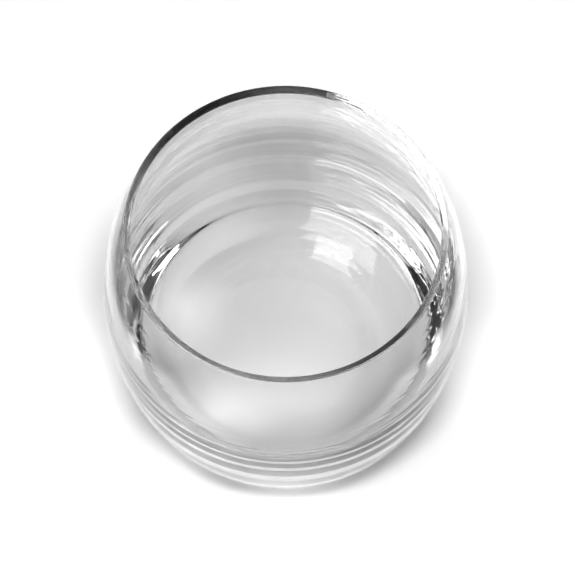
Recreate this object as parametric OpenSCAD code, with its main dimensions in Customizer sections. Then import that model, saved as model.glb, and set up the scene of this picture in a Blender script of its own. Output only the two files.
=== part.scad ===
// Rocks glass: a heavy-bottomed tumbler whose bowl swells to a belly and draws in to a thin lip.
// The whole glass is one wall of revolution about the Z axis. It is divided at level planes into
// the zones in which it is formed and finished, and the zones meet face to face.
// Millimetres, +Z up, origin at the centre of the plane on which the glass stands.

/* [Outer form] */
// Height from the standing plane to the top of the lip
height = 88; // [82:1:100]
// Outer diameter at the lip
lip_d = 80; // [74:1:86]
// Outer diameter at the belly, where the glass is widest
belly_d = 96.2; // [93:0.2:104]
// Height of the outer belly
belly_z = 46; // [42:1:52]
// Radius of the side curve from the belly down to the heel
side_r = 125; // [100:5:200]
// Radius of the outer curve where the side turns under the glass
heel_r = 18; // [12:1:20]

/* [Inside] */
// Thickness of the glass at the middle of the floor
floor_t = 9.3; // [8:0.1:13]
// Thickness of the wall at the inner belly, measured in from the outer belly
belly_wall = 2; // [1.6:0.1:3]
// Thickness of the wall at the top of the lip, measured level
lip_wall = 2.2; // [1.6:0.1:2.8]
// Height of the inner belly above the outer belly
belly_rise = 4; // [0:1:6]
// Radius of the inner side curve below the inner belly
in_side_r = 65; // [58:1:90]
// Radius of the curve that joins the inner side to the floor
in_heel_r = 26; // [22:1:32]

/* [Lip] */
// Height of the polished lip zone
lip_h = 3; // [2:0.5:6]
// Height by which the lip's inner edge lies below its outer edge, so that the lip is square to the wall
lip_drop = 0.7; // [0:0.1:1]
// Radius to which both edges of the lip are polished
lip_edge_r = 0.4; // [0.2:0.05:0.55]

/* [Underside] */
// Width of the flat ring on which the glass stands
foot_ring_w = 2.4; // [1.5:0.1:5]
// Depth of the dished hollow inside that ring
hollow_depth = 0.8; // [0.4:0.1:2]

/* [Zones] */
// Height at which the heavy base gives way to the heel
base_h = 16; // [15:1:20]
// Height at which the heel gives way to the belly
heel_h = 28; // [24:1:34]
// Height at which the belly gives way to the shoulder
belly_h = 60; // [54:1:70]

/* [Hidden] */

$fn = 180;

// Colour of the clear glass
glass_tint = [0.86, 0.90, 0.91, 0.45];

// Length by which a cut runs past the face it opens
overcut = 1;

// Outer radii at the belly and the lip
belly_r = belly_d / 2;
lip_r = lip_d / 2;

// Radius of the arc that leaves the belly upright and reaches the lip
shoulder_r = rising_arc_r(belly_r - lip_r, height - belly_z);

// Radius of the flat under the heel, and the height at which the heel meets the side
base_r = belly_r - side_r + leg(side_r - heel_r, belly_z - heel_r);
heel_top = meeting_z(belly_z, side_r, heel_r, heel_r);

// Inner radii at the belly and the lip, and the height of the inner belly
in_belly_r = belly_r - belly_wall;
in_lip_r = lip_r - lip_wall;
in_belly_z = belly_z + belly_rise;
in_shoulder_r = rising_arc_r(in_belly_r - in_lip_r, height - in_belly_z);

// Inner heel: its radius is limited by the depth below the inner belly
in_heel = min(in_heel_r, in_belly_z - floor_t);
in_heel_z = floor_t + in_heel;
floor_r = in_belly_r - in_side_r + leg(in_side_r - in_heel, in_belly_z - in_heel_z);
in_heel_top = meeting_z(in_belly_z, in_side_r, in_heel_z, in_heel);

// Hollow under the base: its rim radius and the radius of its dish
hollow_r = base_r - foot_ring_w;
hollow_dish_r = rising_arc_r(hollow_depth, hollow_r);

// Centres of the two polished lip edges, the outer one an edge radius below the top
outer_edge_z = height - lip_edge_r;
inner_edge_z = outer_edge_z - lip_drop;
outer_edge_x = belly_r - shoulder_r + leg(shoulder_r - lip_edge_r, outer_edge_z - belly_z);
inner_edge_x = in_belly_r - in_shoulder_r + leg(in_shoulder_r + lip_edge_r, inner_edge_z - in_belly_z);

// Slope of the lip's face between those edges
lip_tilt = atan2(lip_drop, outer_edge_x - inner_edge_x);

// Heights at which those edges run into the outer and the inner wall
outer_edge_low = outer_edge_z + lip_edge_r * (outer_edge_z - belly_z) / (shoulder_r - lip_edge_r);
inner_edge_low = inner_edge_z - lip_edge_r * (inner_edge_z - in_belly_z) / (in_shoulder_r + lip_edge_r);

// Second leg of a right triangle
function leg(hypotenuse, other) = sqrt(hypotenuse * hypotenuse - other * other);

// Radius of an arc that starts along one direction and, over that run, falls away by the given drop
function rising_arc_r(drop, run) = (drop * drop + run * run) / (2 * drop);

// Height at which a small arc of radius small_r, centred at small_z, meets the large arc around it
function meeting_z(large_z, large_r, small_z, small_r) =
    large_z - large_r * (large_z - small_z) / (large_r - small_r);

// Half plane beside the axis between two heights
module band(z_low, z_high) {
    translate([0, z_low])
        square([belly_d, z_high - z_low]);
}

// Part of a disc that lies beside the axis between two heights
module bulge(center, r, z_low, z_high) {
    intersection() {
        translate(center)
            circle(r);
        band(z_low, z_high);
    }
}

// Half section of the outside, filled
module outer_section() {
    bulge([belly_r - shoulder_r, belly_z], shoulder_r, belly_z, height);
    bulge([belly_r - side_r, belly_z], side_r, heel_top, belly_z);
    bulge([base_r, heel_r], heel_r, 0, heel_top);
    square([base_r, heel_top]);
}

// Half section of the space inside the glass
module inner_section() {
    bulge([in_belly_r - in_shoulder_r, in_belly_z], in_shoulder_r, in_belly_z, height + overcut);
    bulge([in_belly_r - in_side_r, in_belly_z], in_side_r, in_heel_top, in_belly_z);
    bulge([floor_r, in_heel_z], in_heel, floor_t, in_heel_top);
    translate([0, floor_t])
        square([floor_r, in_heel_top - floor_t]);
}

// Half section of the dished hollow under the base
module hollow_section() {
    bulge([0, hollow_depth - hollow_dish_r], hollow_dish_r, -overcut, hollow_depth + overcut);
}

// Sharp corner that polishing takes off one edge of the lip; side is 1 outside and -1 inside
module lip_corner(edge_x, edge_z, edge_low, side) {
    face_end_x = edge_x - lip_edge_r * sin(lip_tilt);
    difference() {
        translate([face_end_x + (side - 1) * overcut / 2, edge_low])
            square([overcut, height + overcut - edge_low]);
        translate([edge_x, edge_z])
            circle(lip_edge_r);
    }
}

// Strip above the sloping face of the lip
module lip_top() {
    translate([outer_edge_x, outer_edge_z])
        rotate(lip_tilt)
            translate([-2 * lip_wall, lip_edge_r])
                square([3 * lip_wall, lip_wall]);
}

// Half section of the whole glass
module glass_section() {
    difference() {
        outer_section();
        inner_section();
        hollow_section();
        lip_top();
        lip_corner(outer_edge_x, outer_edge_z, outer_edge_low, 1);
        lip_corner(inner_edge_x, inner_edge_z, inner_edge_low, -1);
    }
}

// Solid of the glass between two heights
module zone(z_low, z_high) {
    color(glass_tint)
        rotate_extrude()
            intersection() {
                glass_section();
                band(z_low, z_high);
            }
}

// Heavy bottom with the middle of the floor, the standing ring and the hollow
module base() {
    zone(0, base_h);
}

// Thick wall that turns up from the base into the side
module heel() {
    zone(base_h, heel_h);
}

// Wall round the widest part of the bowl
module belly() {
    zone(heel_h, belly_h);
}

// Thin wall that draws in from the belly towards the lip
module shoulder() {
    zone(belly_h, height - lip_h);
}

// Lip, cut square to the leaning wall, with both edges polished round
module lip() {
    zone(height - lip_h, height);
}

base();
heel();
belly();
shoulder();
lip();
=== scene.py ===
"""Looks of the rocks glass: one clear wall of glass on a pale table in soft studio light.

Metres, +Z up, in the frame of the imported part. Azimuths and elevations are in degrees. Azimuths
count from +X towards +Y, so the camera stands at azimuth 270.
"""

import logging
import math
from dataclasses import dataclass, field
from enum import Enum

import bpy
import numpy as np
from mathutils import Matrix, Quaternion, Vector


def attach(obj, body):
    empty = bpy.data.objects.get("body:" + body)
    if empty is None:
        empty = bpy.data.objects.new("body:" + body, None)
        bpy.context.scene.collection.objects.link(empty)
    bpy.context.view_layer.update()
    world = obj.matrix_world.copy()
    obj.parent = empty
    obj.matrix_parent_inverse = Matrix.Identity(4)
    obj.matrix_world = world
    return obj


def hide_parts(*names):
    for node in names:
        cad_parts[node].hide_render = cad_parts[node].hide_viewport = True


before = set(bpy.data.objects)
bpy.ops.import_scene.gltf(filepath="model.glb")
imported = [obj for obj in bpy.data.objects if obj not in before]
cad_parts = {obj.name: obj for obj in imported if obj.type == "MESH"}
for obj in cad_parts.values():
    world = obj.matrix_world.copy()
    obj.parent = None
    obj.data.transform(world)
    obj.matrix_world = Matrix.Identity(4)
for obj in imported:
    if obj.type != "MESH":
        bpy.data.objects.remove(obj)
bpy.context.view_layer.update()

LOG = logging.getLogger("rocks_glass")
HALF_TURN = 180.0

Point = tuple[float, float]
Grey = tuple[float, float, float, float]


class Face(Enum):
    """What a stretch of the glass's section is part of."""

    UNDER = "under"
    OUTSIDE = "outside"
    LIP = "lip"
    INSIDE = "inside"
    INNER_HEEL = "inner heel"
    FLOOR = "floor"


def leg(hypotenuse: float, other: float) -> float:
    """Second leg of a right triangle."""
    return math.sqrt(hypotenuse * hypotenuse - other * other)


def rising_arc(drop: float, run: float) -> float:
    """Radius of an arc that starts along its run and has fallen away by the drop at its end."""
    return (drop * drop + run * run) / (2 * drop)


def eased(share: np.ndarray) -> np.ndarray:
    """A share from 0 to 1 that sets off and arrives without a jolt."""
    return share * share * (3 - 2 * share)


def neutral(level: float) -> Grey:
    """A grey of that level, opaque."""
    return (level, level, level, 1.0)


def toward(azimuth: float, elevation: float) -> Vector:
    """Direction from the glass to a place in the studio.

    Args:
        azimuth: angle round the axis, in degrees.
        elevation: angle above the table, in degrees.

    Returns:
        A unit vector.
    """
    turn = math.radians(azimuth)
    rise = math.radians(elevation)
    return Vector((math.cos(rise) * math.cos(turn), math.cos(rise) * math.sin(turn), math.sin(rise)))


def facing(place: Vector, target: Vector) -> Quaternion:
    """Turn of a lamp at a place that shines on the target."""
    return (target - place).to_track_quat("-Z", "Y")


def put_in_scene(name: str, data: bpy.types.ID) -> bpy.types.Object:
    """Makes an object and links it to the scene.

    Args:
        name: the object's name.
        data: its mesh, lamp or camera.

    Returns:
        The object.
    """
    thing = bpy.data.objects.new(name, data)
    bpy.context.scene.collection.objects.link(thing)
    return thing


def combine(nodes: bpy.types.Nodes, links: bpy.types.NodeLinks, operation: str,
            one: bpy.types.NodeSocket, other: bpy.types.NodeSocket) -> bpy.types.NodeSocket:
    """Joins two values by a sum, a product or the like.

    Args:
        nodes: the material's or the world's nodes.
        links: the links beside them.
        operation: what a Math node calls the operation.
        one: first socket.
        other: second socket.

    Returns:
        The socket that carries the result.
    """
    node = nodes.new("ShaderNodeMath")
    node.operation = operation
    links.new(one, node.inputs[0])
    links.new(other, node.inputs[1])
    return node.outputs["Value"]


@dataclass(frozen=True)
class Arc:
    """A round stretch of the section, from one angle to another about its centre."""

    face: Face
    center: Point
    radius: float
    start: float
    end: float

    def length(self) -> float:
        """Length along the arc."""
        return abs(self.end - self.start) * self.radius

    def points(self, count: int) -> np.ndarray:
        """Evenly spaced points from the start to the end.

        Args:
            count: number of points, both ends included.

        Returns:
            An array of distances from the axis and heights.
        """
        angle = np.linspace(self.start, self.end, count)
        across = self.center[0] + self.radius * np.cos(angle)
        up = self.center[1] + self.radius * np.sin(angle)
        return np.column_stack((across, up))


@dataclass(frozen=True)
class Straight:
    """A straight stretch of the section between two points."""

    face: Face
    start: Point
    end: Point

    def length(self) -> float:
        """Length from one end to the other."""
        return math.dist(self.start, self.end)

    def points(self, count: int) -> np.ndarray:
        """Evenly spaced points from the start to the end.

        Args:
            count: number of points, both ends included.

        Returns:
            An array of distances from the axis and heights.
        """
        return np.linspace(self.start, self.end, count)


Stretch = Arc | Straight


@dataclass(frozen=True)
class RingTrain:
    """One train of shallow rings that turning the hot glass leaves in its wall.

    Attributes:
        spacing: distance from one ring to the next.
        depth: half the depth of a ring where the train is strongest.
        phase: shift of the train along the section, as an angle.
        wander: how far the rings swing to and fro along the section, as an angle.
        lobes: number of those swings in one turn about the axis.
        strongest: azimuth at which the rings are deepest.
        evenness: share of the depth that is left on the side away from there.
        focus: how quickly the depth falls off away from there.
    """

    spacing: float
    depth: float
    phase: float
    wander: float
    lobes: int
    strongest: float
    evenness: float
    focus: int = 2

    def relief(self, along: np.ndarray, around: np.ndarray) -> np.ndarray:
        """How far the rings lie below the plain wall.

        Args:
            along: distance along the section, as a column.
            around: angle about the axis, as a row.

        Returns:
            Depths from 0 down to twice the train's depth, one for each point and angle.
        """
        drift = self.wander * np.sin(self.lobes * around + self.phase)
        nearness = (1.0 + np.cos(around - math.radians(self.strongest))) / 2.0
        fading = self.evenness + (1.0 - self.evenness) * nearness**self.focus
        wave = np.sin(2.0 * math.pi * along / self.spacing + self.phase + drift)
        return self.depth * fading * (wave - 1.0)


class UnevennessGroup:
    """The faint unevenness of a handled surface, as a node group that several finishes share."""

    NAME = "faint_unevenness"
    DETAIL = 3.0
    # Range in which nearly all of the noise lies
    NOISE_LOW = 0.3
    NOISE_HIGH = 0.7

    @classmethod
    def tree(cls) -> bpy.types.NodeTree:
        """The group, built on its first use.

        Returns:
            A group with inputs Scale, Low and High and the output Value.
        """
        if cls.NAME in bpy.data.node_groups:
            return bpy.data.node_groups[cls.NAME]
        tree = bpy.data.node_groups.new(cls.NAME, "ShaderNodeTree")
        for name in ("Scale", "Low", "High"):
            tree.interface.new_socket(name, in_out="INPUT", socket_type="NodeSocketFloat")
        tree.interface.new_socket("Value", in_out="OUTPUT", socket_type="NodeSocketFloat")
        given = tree.nodes.new("NodeGroupInput")
        result = tree.nodes.new("NodeGroupOutput")
        place = tree.nodes.new("ShaderNodeTexCoord")
        noise = tree.nodes.new("ShaderNodeTexNoise")
        noise.inputs["Detail"].default_value = cls.DETAIL
        spread = tree.nodes.new("ShaderNodeMapRange")
        spread.inputs["From Min"].default_value = cls.NOISE_LOW
        spread.inputs["From Max"].default_value = cls.NOISE_HIGH
        tree.links.new(place.outputs["Object"], noise.inputs["Vector"])
        tree.links.new(given.outputs["Scale"], noise.inputs["Scale"])
        tree.links.new(noise.outputs["Fac"], spread.inputs["Value"])
        tree.links.new(given.outputs["Low"], spread.inputs["To Min"])
        tree.links.new(given.outputs["High"], spread.inputs["To Max"])
        tree.links.new(spread.outputs["Result"], result.inputs["Value"])
        return tree

    @classmethod
    def place(cls, nodes: bpy.types.Nodes, scale: float, low: float,
              high: float) -> bpy.types.NodeSocket:
        """Puts the group into a material.

        Args:
            nodes: the material's nodes.
            scale: how fine the unevenness is.
            low: lowest value.
            high: highest value.

        Returns:
            The socket that carries the value.
        """
        node = nodes.new("ShaderNodeGroup")
        node.node_tree = cls.tree()
        node.inputs["Scale"].default_value = scale
        node.inputs["Low"].default_value = low
        node.inputs["High"].default_value = high
        return node.outputs["Value"]


@dataclass(frozen=True)
class ClearGlass:
    """Clear polished glass with fine drawn lines round the wall.

    Attributes:
        name: the material's name.
        tint: colour of the surface.
        index: refractive index.
        rough_scale: how fine the unevenness of the polish is.
        rough_low: least roughness.
        rough_high: greatest roughness.
        line_spread: how closely the drawn lines lie along each axis.
        line_scale: how fine the lines are as a whole.
        line_detail: how much finer lines lie between them.
        line_height: height of the lines.
        depth_grey: grey that light takes on inside the glass.
        depth_density: how soon it does.
        shadow_through: share of a lamp's light that one face lets through, met squarely.
        shadow_along: the same for light that runs along the face.
        shadow_edge: how late the share falls from the first to the second.
    """

    name: str = "clear_glass"
    tint: Grey = (0.985, 0.985, 0.985, 1.0)
    index: float = 1.51
    rough_scale: float = 60.0
    rough_low: float = 0.0
    rough_high: float = 0.0015
    line_spread: tuple[float, float, float] = (5.0, 5.0, 900.0)
    line_scale: float = 1.0
    line_detail: float = 4.0
    line_height: float = 0.0000004
    depth_grey: float = 0.5
    depth_density: float = 7.0
    shadow_through: float = 0.55
    shadow_along: float = 0.0
    shadow_edge: float = 2.0

    def material(self) -> bpy.types.Material:
        """The finish as a material.

        Returns:
            A glass material whose roughness and drawn lines come from nodes.
        """
        material = bpy.data.materials.new(self.name)
        material.use_nodes = True
        nodes = material.node_tree.nodes
        links = material.node_tree.links
        shader = nodes["Principled BSDF"]
        shader.inputs["Base Color"].default_value = self.tint
        shader.inputs["Metallic"].default_value = 0.0
        shader.inputs["IOR"].default_value = self.index
        shader.inputs["Transmission Weight"].default_value = 1.0
        rough = UnevennessGroup.place(nodes, self.rough_scale, self.rough_low, self.rough_high)
        links.new(rough, shader.inputs["Roughness"])
        depth = nodes.new("ShaderNodeVolumeAbsorption")
        depth.inputs["Color"].default_value = neutral(self.depth_grey)
        depth.inputs["Density"].default_value = self.depth_density
        links.new(depth.outputs["Volume"], nodes["Material Output"].inputs["Volume"])
        self.draw_lines(material)
        self.let_lamps_through(material)
        return material

    def draw_lines(self, material: bpy.types.Material) -> None:
        """Adds the fine lines that run round the wall.

        Args:
            material: the glass material.
        """
        nodes = material.node_tree.nodes
        links = material.node_tree.links
        place = nodes.new("ShaderNodeTexCoord")
        stretch = nodes.new("ShaderNodeMapping")
        stretch.inputs["Scale"].default_value = self.line_spread
        lines = nodes.new("ShaderNodeTexNoise")
        lines.inputs["Scale"].default_value = self.line_scale
        lines.inputs["Detail"].default_value = self.line_detail
        bump = nodes.new("ShaderNodeBump")
        bump.inputs["Distance"].default_value = self.line_height
        links.new(place.outputs["Object"], stretch.inputs["Vector"])
        links.new(stretch.outputs["Vector"], lines.inputs["Vector"])
        links.new(lines.outputs["Fac"], bump.inputs["Height"])
        links.new(bump.outputs["Normal"], nodes["Principled BSDF"].inputs["Normal"])

    def let_lamps_through(self, material: bpy.types.Material) -> None:
        """Lets lamps shine through the glass onto the table, least where the light runs along the wall.

        Args:
            material: the glass material.
        """
        nodes = material.node_tree.nodes
        links = material.node_tree.links
        path = nodes.new("ShaderNodeLightPath")
        slant = nodes.new("ShaderNodeLayerWeight")
        edge = nodes.new("ShaderNodeMath")
        edge.operation = "POWER"
        edge.inputs[1].default_value = self.shadow_edge
        dimming = nodes.new("ShaderNodeMix")
        dimming.data_type = "RGBA"
        dimming.inputs["A"].default_value = neutral(self.shadow_through)
        dimming.inputs["B"].default_value = neutral(self.shadow_along)
        open_way = nodes.new("ShaderNodeBsdfTransparent")
        either = nodes.new("ShaderNodeMixShader")
        links.new(slant.outputs["Facing"], edge.inputs[0])
        links.new(edge.outputs["Value"], dimming.inputs["Factor"])
        links.new(dimming.outputs["Result"], open_way.inputs["Color"])
        links.new(path.outputs["Is Shadow Ray"], either.inputs["Fac"])
        links.new(nodes["Principled BSDF"].outputs["BSDF"], either.inputs[1])
        links.new(open_way.outputs["BSDF"], either.inputs[2])
        links.new(either.outputs["Shader"], nodes["Material Output"].inputs["Surface"])


@dataclass
class Tumbler:
    """The glass itself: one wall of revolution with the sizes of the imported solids."""

    name: str = "tumbler"

    # Outer form
    height: float = 0.088
    lip_r: float = 0.040
    belly_r: float = 0.0481
    belly_z: float = 0.046
    side_r: float = 0.125
    heel_r: float = 0.018

    # Inside
    floor_t: float = 0.0093
    belly_wall: float = 0.0020
    lip_wall: float = 0.0022
    belly_rise: float = 0.004
    in_side_r: float = 0.065
    in_heel_r: float = 0.026

    # Lip and underside
    lip_drop: float = 0.0007
    lip_edge_r: float = 0.0004
    foot_ring_w: float = 0.0024
    hollow_depth: float = 0.0008

    # Mesh: longest step along the section, fewest steps in a stretch, points in a turn
    step: float = 0.00036
    least: int = 6
    segments: int = 192

    # Length over which the rings fade out at each end of a wall
    ring_fade: float = 0.005
    outer_rings: tuple[RingTrain, ...] = (
        RingTrain(0.0047, 0.0000010, phase=0.4, wander=0.5, lobes=2, strongest=300.0, evenness=0.6),
        RingTrain(0.0027, 0.0000008, phase=1.9, wander=0.7, lobes=3, strongest=230.0, evenness=0.6),
        RingTrain(0.0018, 0.0000005, phase=4.0, wander=0.4, lobes=2, strongest=270.0, evenness=0.6),
    )
    inner_rings: tuple[RingTrain, ...] = (
        RingTrain(0.0105, 0.0000030, phase=0.4, wander=0.5, lobes=2, strongest=40.0, evenness=0.2),
        RingTrain(0.0057, 0.0000028, phase=1.9, wander=0.7, lobes=3, strongest=120.0, evenness=0.2),
        RingTrain(0.0031, 0.0000026, phase=3.1, wander=0.8, lobes=2, strongest=20.0, evenness=0.55),
        RingTrain(0.0019, 0.0000020, phase=5.2, wander=0.6, lobes=3, strongest=60.0, evenness=0.6),
    )
    heel_rings: tuple[RingTrain, ...] = (
        RingTrain(0.0080, 0.0000850, phase=2.2, wander=0.3, lobes=2, strongest=75.0, evenness=0.0),
    )
    finish: ClearGlass = field(default_factory=ClearGlass)

    def under(self, base_r: float) -> list[Stretch]:
        """The dished hollow and the flat ring round it.

        Args:
            base_r: outer radius of the flat ring.

        Returns:
            The two stretches, from the axis outwards.
        """
        hollow_r = base_r - self.foot_ring_w
        dish_r = rising_arc(self.hollow_depth, hollow_r)
        dish_center = (0.0, self.hollow_depth - dish_r)
        dish_end = math.acos(hollow_r / dish_r)
        return [
            Arc(Face.UNDER, dish_center, dish_r, math.pi / 2, dish_end),
            Straight(Face.UNDER, (hollow_r, 0.0), (base_r, 0.0)),
        ]

    def outside(self, base_r: float, shoulder_r: float, lip_angle: float) -> list[Stretch]:
        """The outer wall from the flat ring up to the lip.

        Args:
            base_r: outer radius of the flat ring.
            shoulder_r: radius of the arc from the belly to the lip.
            lip_angle: angle on that arc at which the lip's edge begins.

        Returns:
            The heel, the side and the shoulder.
        """
        drop = self.belly_z - self.heel_r
        turn = -math.asin(drop / (self.side_r - self.heel_r))
        side_center = (self.belly_r - self.side_r, self.belly_z)
        shoulder_center = (self.belly_r - shoulder_r, self.belly_z)
        return [
            Arc(Face.OUTSIDE, (base_r, self.heel_r), self.heel_r, -math.pi / 2, turn),
            Arc(Face.OUTSIDE, side_center, self.side_r, turn, 0.0),
            Arc(Face.OUTSIDE, shoulder_center, shoulder_r, 0.0, lip_angle),
        ]

    def inside(self, belly_r: float, belly_z: float, shoulder_r: float,
               lip_angle: float) -> list[Stretch]:
        """The inner wall from the lip down to the floor, and the floor.

        Args:
            belly_r: inner radius at the inner belly.
            belly_z: height of the inner belly.
            shoulder_r: radius of the arc from the inner belly to the lip.
            lip_angle: angle on that arc at which the lip's edge ends.

        Returns:
            The inner shoulder, the inner side, the inner heel and the floor.
        """
        heel_z = self.floor_t + self.in_heel_r
        drop = belly_z - heel_z
        turn = -math.asin(drop / (self.in_side_r - self.in_heel_r))
        shoulder_center = (belly_r - shoulder_r, belly_z)
        side_center = (belly_r - self.in_side_r, belly_z)
        floor_r = side_center[0] + leg(self.in_side_r - self.in_heel_r, drop)
        return [
            Arc(Face.INSIDE, shoulder_center, shoulder_r, lip_angle, 0.0),
            Arc(Face.INSIDE, side_center, self.in_side_r, 0.0, turn),
            Arc(Face.INNER_HEEL, (floor_r, heel_z), self.in_heel_r, turn, -math.pi / 2),
            Straight(Face.FLOOR, (floor_r, self.floor_t), (0.0, self.floor_t)),
        ]

    def section(self) -> list[Stretch]:
        """The closed section, from the axis below the base to the axis at the floor.

        Returns:
            The stretches in order, each starting where the one before it ends.
        """
        edge = self.lip_edge_r
        outer_z = self.height - edge
        inner_z = outer_z - self.lip_drop
        base_r = self.belly_r - self.side_r + leg(self.side_r - self.heel_r, self.belly_z - self.heel_r)
        shoulder_r = rising_arc(self.belly_r - self.lip_r, self.height - self.belly_z)
        outer_x = self.belly_r - shoulder_r + leg(shoulder_r - edge, outer_z - self.belly_z)
        outer_angle = math.asin((outer_z - self.belly_z) / (shoulder_r - edge))
        in_belly_r = self.belly_r - self.belly_wall
        in_belly_z = self.belly_z + self.belly_rise
        in_lip_r = self.lip_r - self.lip_wall
        in_shoulder_r = rising_arc(in_belly_r - in_lip_r, self.height - in_belly_z)
        inner_x = in_belly_r - in_shoulder_r + leg(in_shoulder_r + edge, inner_z - in_belly_z)
        inner_angle = math.asin((inner_z - in_belly_z) / (in_shoulder_r + edge))
        tilt = math.atan2(self.lip_drop, outer_x - inner_x)
        lift = (-edge * math.sin(tilt), edge * math.cos(tilt))
        face_start = (outer_x + lift[0], outer_z + lift[1])
        face_end = (inner_x + lift[0], inner_z + lift[1])
        return [
            *self.under(base_r),
            *self.outside(base_r, shoulder_r, outer_angle),
            Arc(Face.LIP, (outer_x, outer_z), edge, outer_angle, math.pi / 2 + tilt),
            Straight(Face.LIP, face_start, face_end),
            Arc(Face.LIP, (inner_x, inner_z), edge, math.pi / 2 + tilt, math.pi + inner_angle),
            *self.inside(in_belly_r, in_belly_z, in_shoulder_r, inner_angle),
        ]

    def sampled(self) -> tuple[np.ndarray, np.ndarray]:
        """Points along the section, and the face on which each lies.

        Returns:
            The points, and for each its face as a place in the list of faces.
        """
        faces = list(Face)
        rows: list[np.ndarray] = []
        marks: list[int] = []
        for stretch in self.section():
            count = max(self.least, math.ceil(stretch.length() / self.step)) + 1
            points = stretch.points(count)
            kept = points[1:] if rows else points
            rows.append(kept)
            marks += [faces.index(stretch.face)] * len(kept)
        return np.concatenate(rows), np.array(marks)

    def ringed(self, points: np.ndarray, marks: np.ndarray, around: np.ndarray) -> np.ndarray:
        """Depth of the rings over the whole glass.

        Args:
            points: the section's points.
            marks: the face of each point.
            around: angles about the axis.

        Returns:
            A depth, 0 or less, for each point and angle.
        """
        steps = np.hypot(*np.diff(points, axis=0).T)
        along = np.concatenate(([0.0], np.cumsum(steps)))
        relief = np.zeros((len(points), len(around)))
        order = list(Face)
        walls = (
            ((Face.OUTSIDE,), self.outer_rings),
            ((Face.INSIDE, Face.INNER_HEEL), self.inner_rings),
            ((Face.INNER_HEEL,), self.heel_rings),
        )
        for faces, trains in walls:
            chosen = np.flatnonzero(np.isin(marks, [order.index(face) for face in faces]))
            here = along[chosen]
            rise = np.clip((here - here[0]) / self.ring_fade, 0.0, 1.0)
            fall = np.clip((here[-1] - here) / self.ring_fade, 0.0, 1.0)
            window = eased(rise) * eased(fall)
            for train in trains:
                relief[chosen] += window[:, None] * train.relief(here[:, None], around[None, :])
        return relief

    def build(self) -> bpy.types.Object:
        """Turns the section about the axis into one closed mesh.

        Returns:
            The glass, in place and smooth.
        """
        points, marks = self.sampled()
        around = np.linspace(0.0, 2.0 * math.pi, self.segments, endpoint=False)
        slope = np.gradient(points, axis=0)
        slope /= np.hypot(slope[:, 0], slope[:, 1])[:, None]
        outward = np.column_stack((slope[:, 1], -slope[:, 0]))
        relief = self.ringed(points, marks, around)
        across = points[1:-1, 0, None] + outward[1:-1, 0, None] * relief[1:-1]
        up = points[1:-1, 1, None] + outward[1:-1, 1, None] * relief[1:-1]
        rows = np.stack((across * np.cos(around), across * np.sin(around), up), axis=-1)
        bottom = (0.0, 0.0, float(points[0, 1]))
        top = (0.0, 0.0, float(points[-1, 1]))
        verts = [bottom, *map(tuple, rows.reshape(-1, 3).tolist()), top]
        faces = self.faces(len(rows), len(verts) - 1)
        mesh = bpy.data.meshes.new(self.name)
        mesh.from_pydata(verts, [], faces)
        mesh.shade_smooth()
        mesh.update()
        return put_in_scene(self.name, mesh)

    def faces(self, rows: int, last: int) -> list[tuple[int, ...]]:
        """Faces between neighbouring rows of points, with a fan at each end on the axis.

        Args:
            rows: number of rows round the axis.
            last: index of the point on the floor's middle.

        Returns:
            The corners of each face, turned so that the faces look out of the glass.
        """
        around = self.segments
        nexts = [(i + 1) % around for i in range(around)]
        start = 1 + (rows - 1) * around
        found: list[tuple[int, ...]] = [(0, 1 + nexts[i], 1 + i) for i in range(around)]
        for row in range(rows - 1):
            low = 1 + row * around
            high = low + around
            found += [(low + i, low + nexts[i], high + nexts[i], high + i) for i in range(around)]
        found += [(start + i, start + nexts[i], last) for i in range(around)]
        return found

    def dress(self, glass: bpy.types.Object) -> None:
        """Gives the glass its finish and its place in the part.

        Args:
            glass: the mesh that build made.
        """
        glass.data.materials.append(self.finish.material())
        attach(glass, "root")
        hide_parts("base", "heel", "belly", "shoulder", "lip")


@dataclass(frozen=True)
class Ramp:
    """A smooth passage from one value to another over a stretch of distance.

    Attributes:
        start: distance at which the passage begins.
        end: distance at which it ends.
        first: value up to the start.
        last: value from the end on.
    """

    start: float
    end: float
    first: float
    last: float

    def place(self, nodes: bpy.types.Nodes, links: bpy.types.NodeLinks,
              distance: bpy.types.NodeSocket) -> bpy.types.NodeSocket:
        """Puts the passage into a material.

        Args:
            nodes: the material's nodes.
            links: the material's links.
            distance: the socket that carries the distance.

        Returns:
            The socket that carries the value.
        """
        node = nodes.new("ShaderNodeMapRange")
        node.interpolation_type = "SMOOTHSTEP"
        node.inputs["From Min"].default_value = self.start
        node.inputs["From Max"].default_value = self.end
        node.inputs["To Min"].default_value = self.first
        node.inputs["To Max"].default_value = self.last
        links.new(distance, node.inputs["Value"])
        return node.outputs["Result"]


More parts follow.
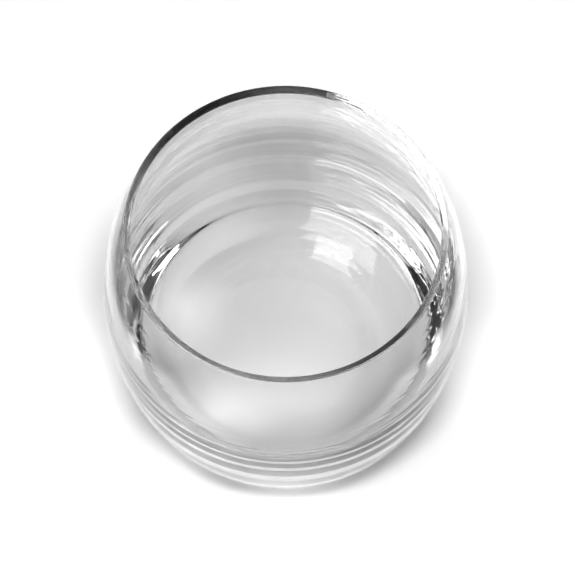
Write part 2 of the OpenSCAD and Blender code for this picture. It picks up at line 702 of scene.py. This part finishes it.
@dataclass(frozen=True)
class MattWhite:
    """Matt white table surface that fades into the dim studio at its sides and its front.

    Attributes:
        name: the material's name.
        white: lightest white of the surface.
        cloud: how much darker its faint clouds are.
        cloud_scale: how fine the clouds are.
        rough_low: least roughness.
        rough_high: greatest roughness.
        rough_scale: how fine the change of roughness is.
        gloss: strength of its reflections.
        own_light: light that the surface shows of itself, by distance from the glass's axis.
        side_shade: share of its white that is left, by distance to either side.
        front_shade: share of its white that is left, from the front to the back.
    """

    name: str = "matt_white"
    white: float = 0.96
    cloud: float = 0.02
    cloud_scale: float = 9.0
    rough_low: float = 0.55
    rough_high: float = 0.70
    rough_scale: float = 140.0
    gloss: float = 0.1
    own_light: Ramp = Ramp(start=0.045, end=0.118, first=0.17, last=0.45)
    side_shade: Ramp = Ramp(start=0.092, end=0.108, first=1.0, last=0.02)
    front_shade: Ramp = Ramp(start=-0.088, end=-0.066, first=0.02, last=1.0)

    def material(self) -> bpy.types.Material:
        """The finish as a material.

        Returns:
            A matt material with a little light of its own for rays that show it.
        """
        material = bpy.data.materials.new(self.name)
        material.use_nodes = True
        nodes = material.node_tree.nodes
        links = material.node_tree.links
        shader = nodes["Principled BSDF"]
        shader.inputs["Specular IOR Level"].default_value = self.gloss
        place = nodes.new("ShaderNodeTexCoord")
        axes = nodes.new("ShaderNodeSeparateXYZ")
        away = nodes.new("ShaderNodeVectorMath")
        away.operation = "LENGTH"
        aside = nodes.new("ShaderNodeMath")
        aside.operation = "ABSOLUTE"
        links.new(place.outputs["Object"], axes.inputs["Vector"])
        links.new(place.outputs["Object"], away.inputs[0])
        links.new(axes.outputs["X"], aside.inputs[0])
        side = self.side_shade.place(nodes, links, aside.outputs["Value"])
        front = self.front_shade.place(nodes, links, axes.outputs["Y"])
        lit = combine(nodes, links, "MULTIPLY", side, front)
        cloud = UnevennessGroup.place(nodes, self.cloud_scale, self.white - self.cloud, self.white)
        links.new(combine(nodes, links, "MULTIPLY", cloud, lit), shader.inputs["Base Color"])
        rough = UnevennessGroup.place(nodes, self.rough_scale, self.rough_low, self.rough_high)
        links.new(rough, shader.inputs["Roughness"])
        path = nodes.new("ShaderNodeLightPath").outputs
        in_glass = combine(nodes, links, "MAXIMUM", path["Is Glossy Ray"], path["Is Transmission Ray"])
        shows = combine(nodes, links, "MAXIMUM", path["Is Camera Ray"], in_glass)
        glow = self.own_light.place(nodes, links, away.outputs["Value"])
        shown = combine(nodes, links, "MULTIPLY", glow, shows)
        shader.inputs["Emission Color"].default_value = neutral(1.0)
        links.new(combine(nodes, links, "MULTIPLY", shown, lit), shader.inputs["Emission Strength"])
        return material


@dataclass
class Tabletop:
    """The pale table on which the glass stands."""

    name: str = "tabletop"
    half_width: float = 0.109
    front: float = -0.089
    back: float = 0.160
    clearance: float = 0.00005
    finish: MattWhite = field(default_factory=MattWhite)

    def build(self) -> bpy.types.Object:
        """Lays the table just under the standing ring.

        Returns:
            The table.
        """
        reach = self.half_width
        level = -self.clearance
        corners = [
            (-reach, self.front, level),
            (reach, self.front, level),
            (reach, self.back, level),
            (-reach, self.back, level),
        ]
        mesh = bpy.data.meshes.new(self.name)
        mesh.from_pydata(corners, [], [(0, 1, 2, 3)])
        mesh.materials.append(self.finish.material())
        table = put_in_scene(self.name, mesh)
        return table


@dataclass(frozen=True)
class Softbox:
    """A flat soft light that faces the glass.

    Attributes:
        name: the lamp's name.
        azimuth: direction from the glass to the lamp, round the axis.
        elevation: direction from the glass to the lamp, above the table.
        distance: how far off it hangs.
        width: width of its face.
        height: height of its face.
        level: brightness of its face, where 1 is white.
        aim: height above the table at which it looks.
        lights_table: whether it lights matt surfaces.
        mirrored: whether it shows in the glass.
        roll: turn of its face about its own line of sight.
    """

    name: str
    azimuth: float
    elevation: float
    distance: float
    width: float
    height: float
    level: float
    aim: float = 0.03
    lights_table: bool = True
    mirrored: bool = True
    roll: float = 0.0

    def hang(self) -> None:
        """Puts the lamp in its place, turned to the glass."""
        lamp = bpy.data.lights.new(self.name, "AREA")
        lamp.shape = "RECTANGLE"
        lamp.size = self.width
        lamp.size_y = self.height
        lamp.energy = self.level * math.pi * self.width * self.height
        holder = put_in_scene(self.name, lamp)
        target = Vector((0.0, 0.0, self.aim))
        holder.location = target + self.distance * toward(self.azimuth, self.elevation)
        roll = Quaternion((0.0, 0.0, 1.0), math.radians(self.roll))
        holder.rotation_euler = (facing(holder.location, target) @ roll).to_euler()
        holder.visible_camera = False
        holder.visible_diffuse = self.lights_table
        holder.visible_glossy = self.mirrored
        holder.visible_transmission = self.mirrored


@dataclass(frozen=True)
class FloorPool:
    """A soft pool of light on the table, which the glass gathers or which fills its shadow.

    Attributes:
        name: the lamp's name.
        azimuth: direction from the axis to the middle of the pool.
        reach: distance from the axis to the middle of the pool.
        radius: radius of the pool.
        level: brightness of the pool on a white table, where 1 is white.
        from_outside: whether the lamp shines from the pool's own side or across the mouth.
        softness: share of the pool over which its edge fades.
        elevation: direction from the pool to the lamp, above the table.
        distance: how far off the lamp hangs.
        lamp_r: radius of the lamp.
    """

    name: str
    azimuth: float
    reach: float
    radius: float
    level: float
    from_outside: bool = False
    softness: float = 0.7
    elevation: float = 70.0
    distance: float = 0.6
    lamp_r: float = 0.01

    def hang(self) -> None:
        """Puts the lamp in its place, aimed at its spot on the table."""
        lamp = bpy.data.lights.new(self.name, "SPOT")
        lamp.energy = self.level * (2.0 * math.pi * self.distance) ** 2
        lamp.spot_size = 2.0 * math.atan(self.radius / self.distance)
        lamp.spot_blend = self.softness
        lamp.shadow_soft_size = self.lamp_r
        holder = put_in_scene(self.name, lamp)
        target = self.reach * toward(self.azimuth, 0.0)
        lamp_azimuth = self.azimuth if self.from_outside else self.azimuth + HALF_TURN
        holder.location = target + self.distance * toward(lamp_azimuth, self.elevation)
        holder.rotation_euler = facing(holder.location, target).to_euler()
        holder.visible_camera = False
        holder.visible_glossy = False
        holder.visible_transmission = False


@dataclass(frozen=True)
class SkyPatch:
    """A broad pale patch of the studio's walls and ceiling.

    Attributes:
        azimuth: direction from the glass to its middle, round the axis.
        elevation: direction from the glass to its middle, above the table.
        spread: angle from its middle to its edge.
        level: brightness at its middle, where 1 is white.
    """

    azimuth: float
    elevation: float
    spread: float
    level: float

    def glow(self, nodes: bpy.types.Nodes, links: bpy.types.NodeLinks,
             direction: bpy.types.NodeSocket) -> bpy.types.NodeSocket:
        """The patch's light in every direction.

        Args:
            nodes: the world's nodes.
            links: the world's links.
            direction: the direction that is looked in.

        Returns:
            The socket that carries its level.
        """
        nearness = nodes.new("ShaderNodeVectorMath")
        nearness.operation = "DOT_PRODUCT"
        nearness.inputs[1].default_value = toward(self.azimuth, self.elevation)
        links.new(direction, nearness.inputs[0])
        edge = Ramp(math.cos(math.radians(self.spread)), 1.0, first=0.0, last=self.level)
        return edge.place(nodes, links, nearness.outputs["Value"])


@dataclass(frozen=True)
class StudioWalls:
    """The dim room round the table, with a few broad pale patches."""

    name: str = "studio_walls"
    dim: float = 0.008
    patches: tuple[SkyPatch, ...] = (
        SkyPatch(azimuth=88.0, elevation=12.0, spread=44.0, level=0.70),
        SkyPatch(azimuth=90.0, elevation=60.0, spread=24.0, level=0.20),
        SkyPatch(azimuth=345.0, elevation=4.0, spread=24.0, level=0.60),
        SkyPatch(azimuth=328.0, elevation=26.0, spread=14.0, level=0.20),
        SkyPatch(azimuth=213.0, elevation=72.0, spread=14.0, level=0.35),
    )

    def build(self) -> bpy.types.World:
        """Makes the world.

        Returns:
            The world, set on the scene.
        """
        world = bpy.data.worlds.new(self.name)
        world.use_nodes = True
        bpy.context.scene.world = world
        nodes = world.node_tree.nodes
        links = world.node_tree.links
        light = nodes["Background"]
        light.inputs["Color"].default_value = neutral(1.0)
        direction = nodes.new("ShaderNodeTexCoord").outputs["Generated"]
        dim = nodes.new("ShaderNodeValue")
        dim.outputs["Value"].default_value = self.dim
        total = dim.outputs["Value"]
        for patch in self.patches:
            total = combine(nodes, links, "ADD", total, patch.glow(nodes, links, direction))
        links.new(total, light.inputs["Strength"])
        return world


@dataclass(frozen=True)
class PhotoCamera:
    """The camera at the photograph's viewing angle.

    Attributes:
        name: the camera's name.
        image_width: width of the picture in pixels.
        focal_px: focal length in pixels.
        middle_px: column of the picture in which the glass's axis lies.
        sensor: width of the sensor in millimetres.
        elevation: angle at which the camera looks down.
        distance: distance from the camera to the point that it looks at.
        aim_z: height of that point on the axis.
        near: distance from which the camera sees.
    """

    name: str = "photo_camera"
    image_width: float = 575.0
    focal_px: float = 1977.0
    middle_px: float = 285.5
    sensor: float = 36.0
    elevation: float = 67.1
    distance: float = 0.520
    aim_z: float = 0.05104
    near: float = 0.01

    def build(self) -> bpy.types.Object:
        """Places the camera and makes it the scene's own.

        Returns:
            The camera.
        """
        lens = bpy.data.cameras.new(self.name)
        lens.sensor_width = self.sensor
        lens.lens = self.focal_px / self.image_width * self.sensor
        lens.shift_x = (self.image_width / 2 - self.middle_px) / self.image_width
        lens.clip_start = self.near
        tilt = math.radians(self.elevation)
        back = self.distance * math.cos(tilt)
        up = self.distance * math.sin(tilt)
        camera = put_in_scene(self.name, lens)
        camera.location = (0.0, -back, self.aim_z + up)
        camera.rotation_euler = (math.pi / 2 - tilt, 0.0, 0.0)
        bpy.context.scene.camera = camera
        return camera


@dataclass(frozen=True)
class Studio:
    """Table, lights and walls round the glass."""

    lights: tuple[Softbox, ...] = (
        Softbox("left_front_box", azimuth=230.0, elevation=24.0, distance=1.0,
                width=0.90, height=0.68, level=4.6, lights_table=False),
        Softbox("left_top_box", azimuth=224.0, elevation=57.0, distance=1.0,
                width=0.36, height=0.46, level=4.6, lights_table=False, roll=25.0),
        Softbox("right_front_box", azimuth=330.0, elevation=68.0, distance=1.2,
                width=0.32, height=0.16, level=0.8, lights_table=False),
        Softbox("top_back_box", azimuth=60.0, elevation=64.0, distance=1.2,
                width=0.9, height=0.7, level=0.5, lights_table=False),
        Softbox("overhead_box", azimuth=266.0, elevation=74.5, distance=0.45,
                width=0.10, height=0.05, level=109.0, mirrored=False),
    )
    pools: tuple[FloorPool, ...] = (
        FloorPool("front_left_pool", azimuth=224.0, reach=0.029, radius=0.012, level=2.6, softness=0.5),
        FloorPool("left_pool", azimuth=157.0, reach=0.036, radius=0.013, level=1.3),
        FloorPool("front_pool", azimuth=278.0, reach=0.021, radius=0.022, level=1.0),
        FloorPool("back_left_pool", azimuth=122.0, reach=0.056, radius=0.024, level=0.30,
                  from_outside=True),
        FloorPool("bottom_pool", azimuth=270.0, reach=0.049, radius=0.015, level=0.35,
                  from_outside=True),
        FloorPool("right_pool", azimuth=358.0, reach=0.053, radius=0.018, level=0.22,
                  from_outside=True),
        FloorPool("far_left_pool", azimuth=182.0, reach=0.053, radius=0.018, level=0.22,
                  from_outside=True),
    )
    walls: StudioWalls = field(default_factory=StudioWalls)
    table: Tabletop = field(default_factory=Tabletop)

    # Most times that light may bounce: in all, through glass and off mirrors
    light_paths: int = 128
    glass_paths: int = 128
    mirror_paths: int = 64

    def build(self) -> None:
        """Sets up the studio."""
        scene = bpy.context.scene
        scene.view_settings.view_transform = "Standard"
        scene.cycles.max_bounces = self.light_paths
        scene.cycles.transmission_bounces = self.glass_paths
        scene.cycles.glossy_bounces = self.mirror_paths
        table = self.table.build()
        LOG.info("stage %s", table.name)
        world = self.walls.build()
        LOG.info("walls %s with %d patches", world.name, len(self.walls.patches))
        for light in (*self.lights, *self.pools):
            light.hang()
            LOG.info("light %s at level %.2f", light.name, light.level)


def main() -> None:
    """Builds the camera, the glass and the studio in order."""
    logging.basicConfig(level=logging.INFO, format="%(name)s: %(message)s")
    camera = PhotoCamera().build()
    LOG.info("camera %s", camera.name)
    tumbler = Tumbler()
    glass = tumbler.build()
    tumbler.dress(glass)
    LOG.info("piece %s with %d faces", glass.name, len(glass.data.polygons))
    Studio().build()


if __name__ == "__main__":
    main()
